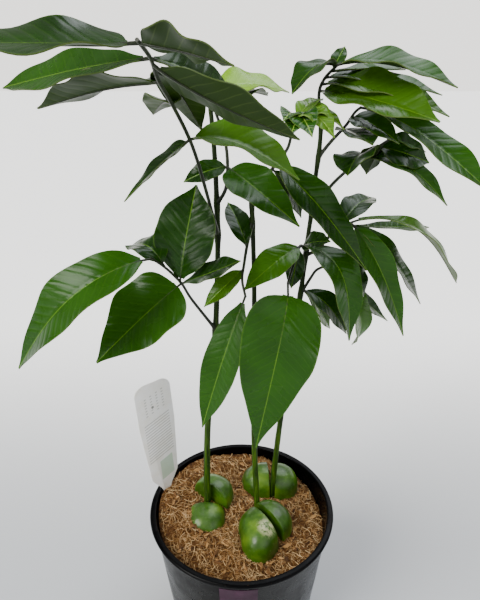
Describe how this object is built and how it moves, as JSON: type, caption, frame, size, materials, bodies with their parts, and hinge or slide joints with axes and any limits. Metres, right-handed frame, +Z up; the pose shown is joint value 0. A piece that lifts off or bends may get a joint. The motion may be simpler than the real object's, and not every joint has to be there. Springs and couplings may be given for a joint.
{
  "type": "potted black bean plant",
  "caption": "Young black bean trees with glossy arching leaves rising from split green seeds in a black nursery pot with a white plant tag.",
  "frame": {"origin": "centre of the pot's underside", "axes": "+Z up along the pot's axis, +X to the right and +Y to the back when the plant is seen from its front"},
  "size_m": [0.2723, 0.1963, 0.4398],
  "materials": {
    "pot": "glossy black moulded plastic",
    "potting_mix": "loose brown coir fibre and bark, matt",
    "stem": "smooth dark green young stem",
    "seed": "smooth green seed flesh",
    "leaf": "glossy dark green leaf",
    "tag": "white matt plastic",
    "label": "plain plum coated paper"
  },
  "bodies": {
    "root": {"pot": "pot", "pot_label": "label", "potting_mix": "potting_mix", "plant_tag": "tag", "stem_left": "stem", "stem_mid": "stem", "stem_right": "stem", "seed_half_left_front": "seed", "seed_half_left_back": "seed", "seed_half_mid_front": "seed", "seed_half_mid_back": "seed", "seed_half_right_left": "seed", "seed_half_right_right": "seed", "frond_front_left": "leaf", "frond_low_left": "leaf", "frond_top_left": "leaf", "frond_low_mid": "leaf", "frond_high_mid": "leaf", "frond_low_right": "leaf", "frond_side_right": "leaf", "frond_under_right": "leaf", "frond_far_right": "leaf", "frond_crown_right": "leaf", "frond_fork_right": "leaf"}
  },
  "joints": []
}
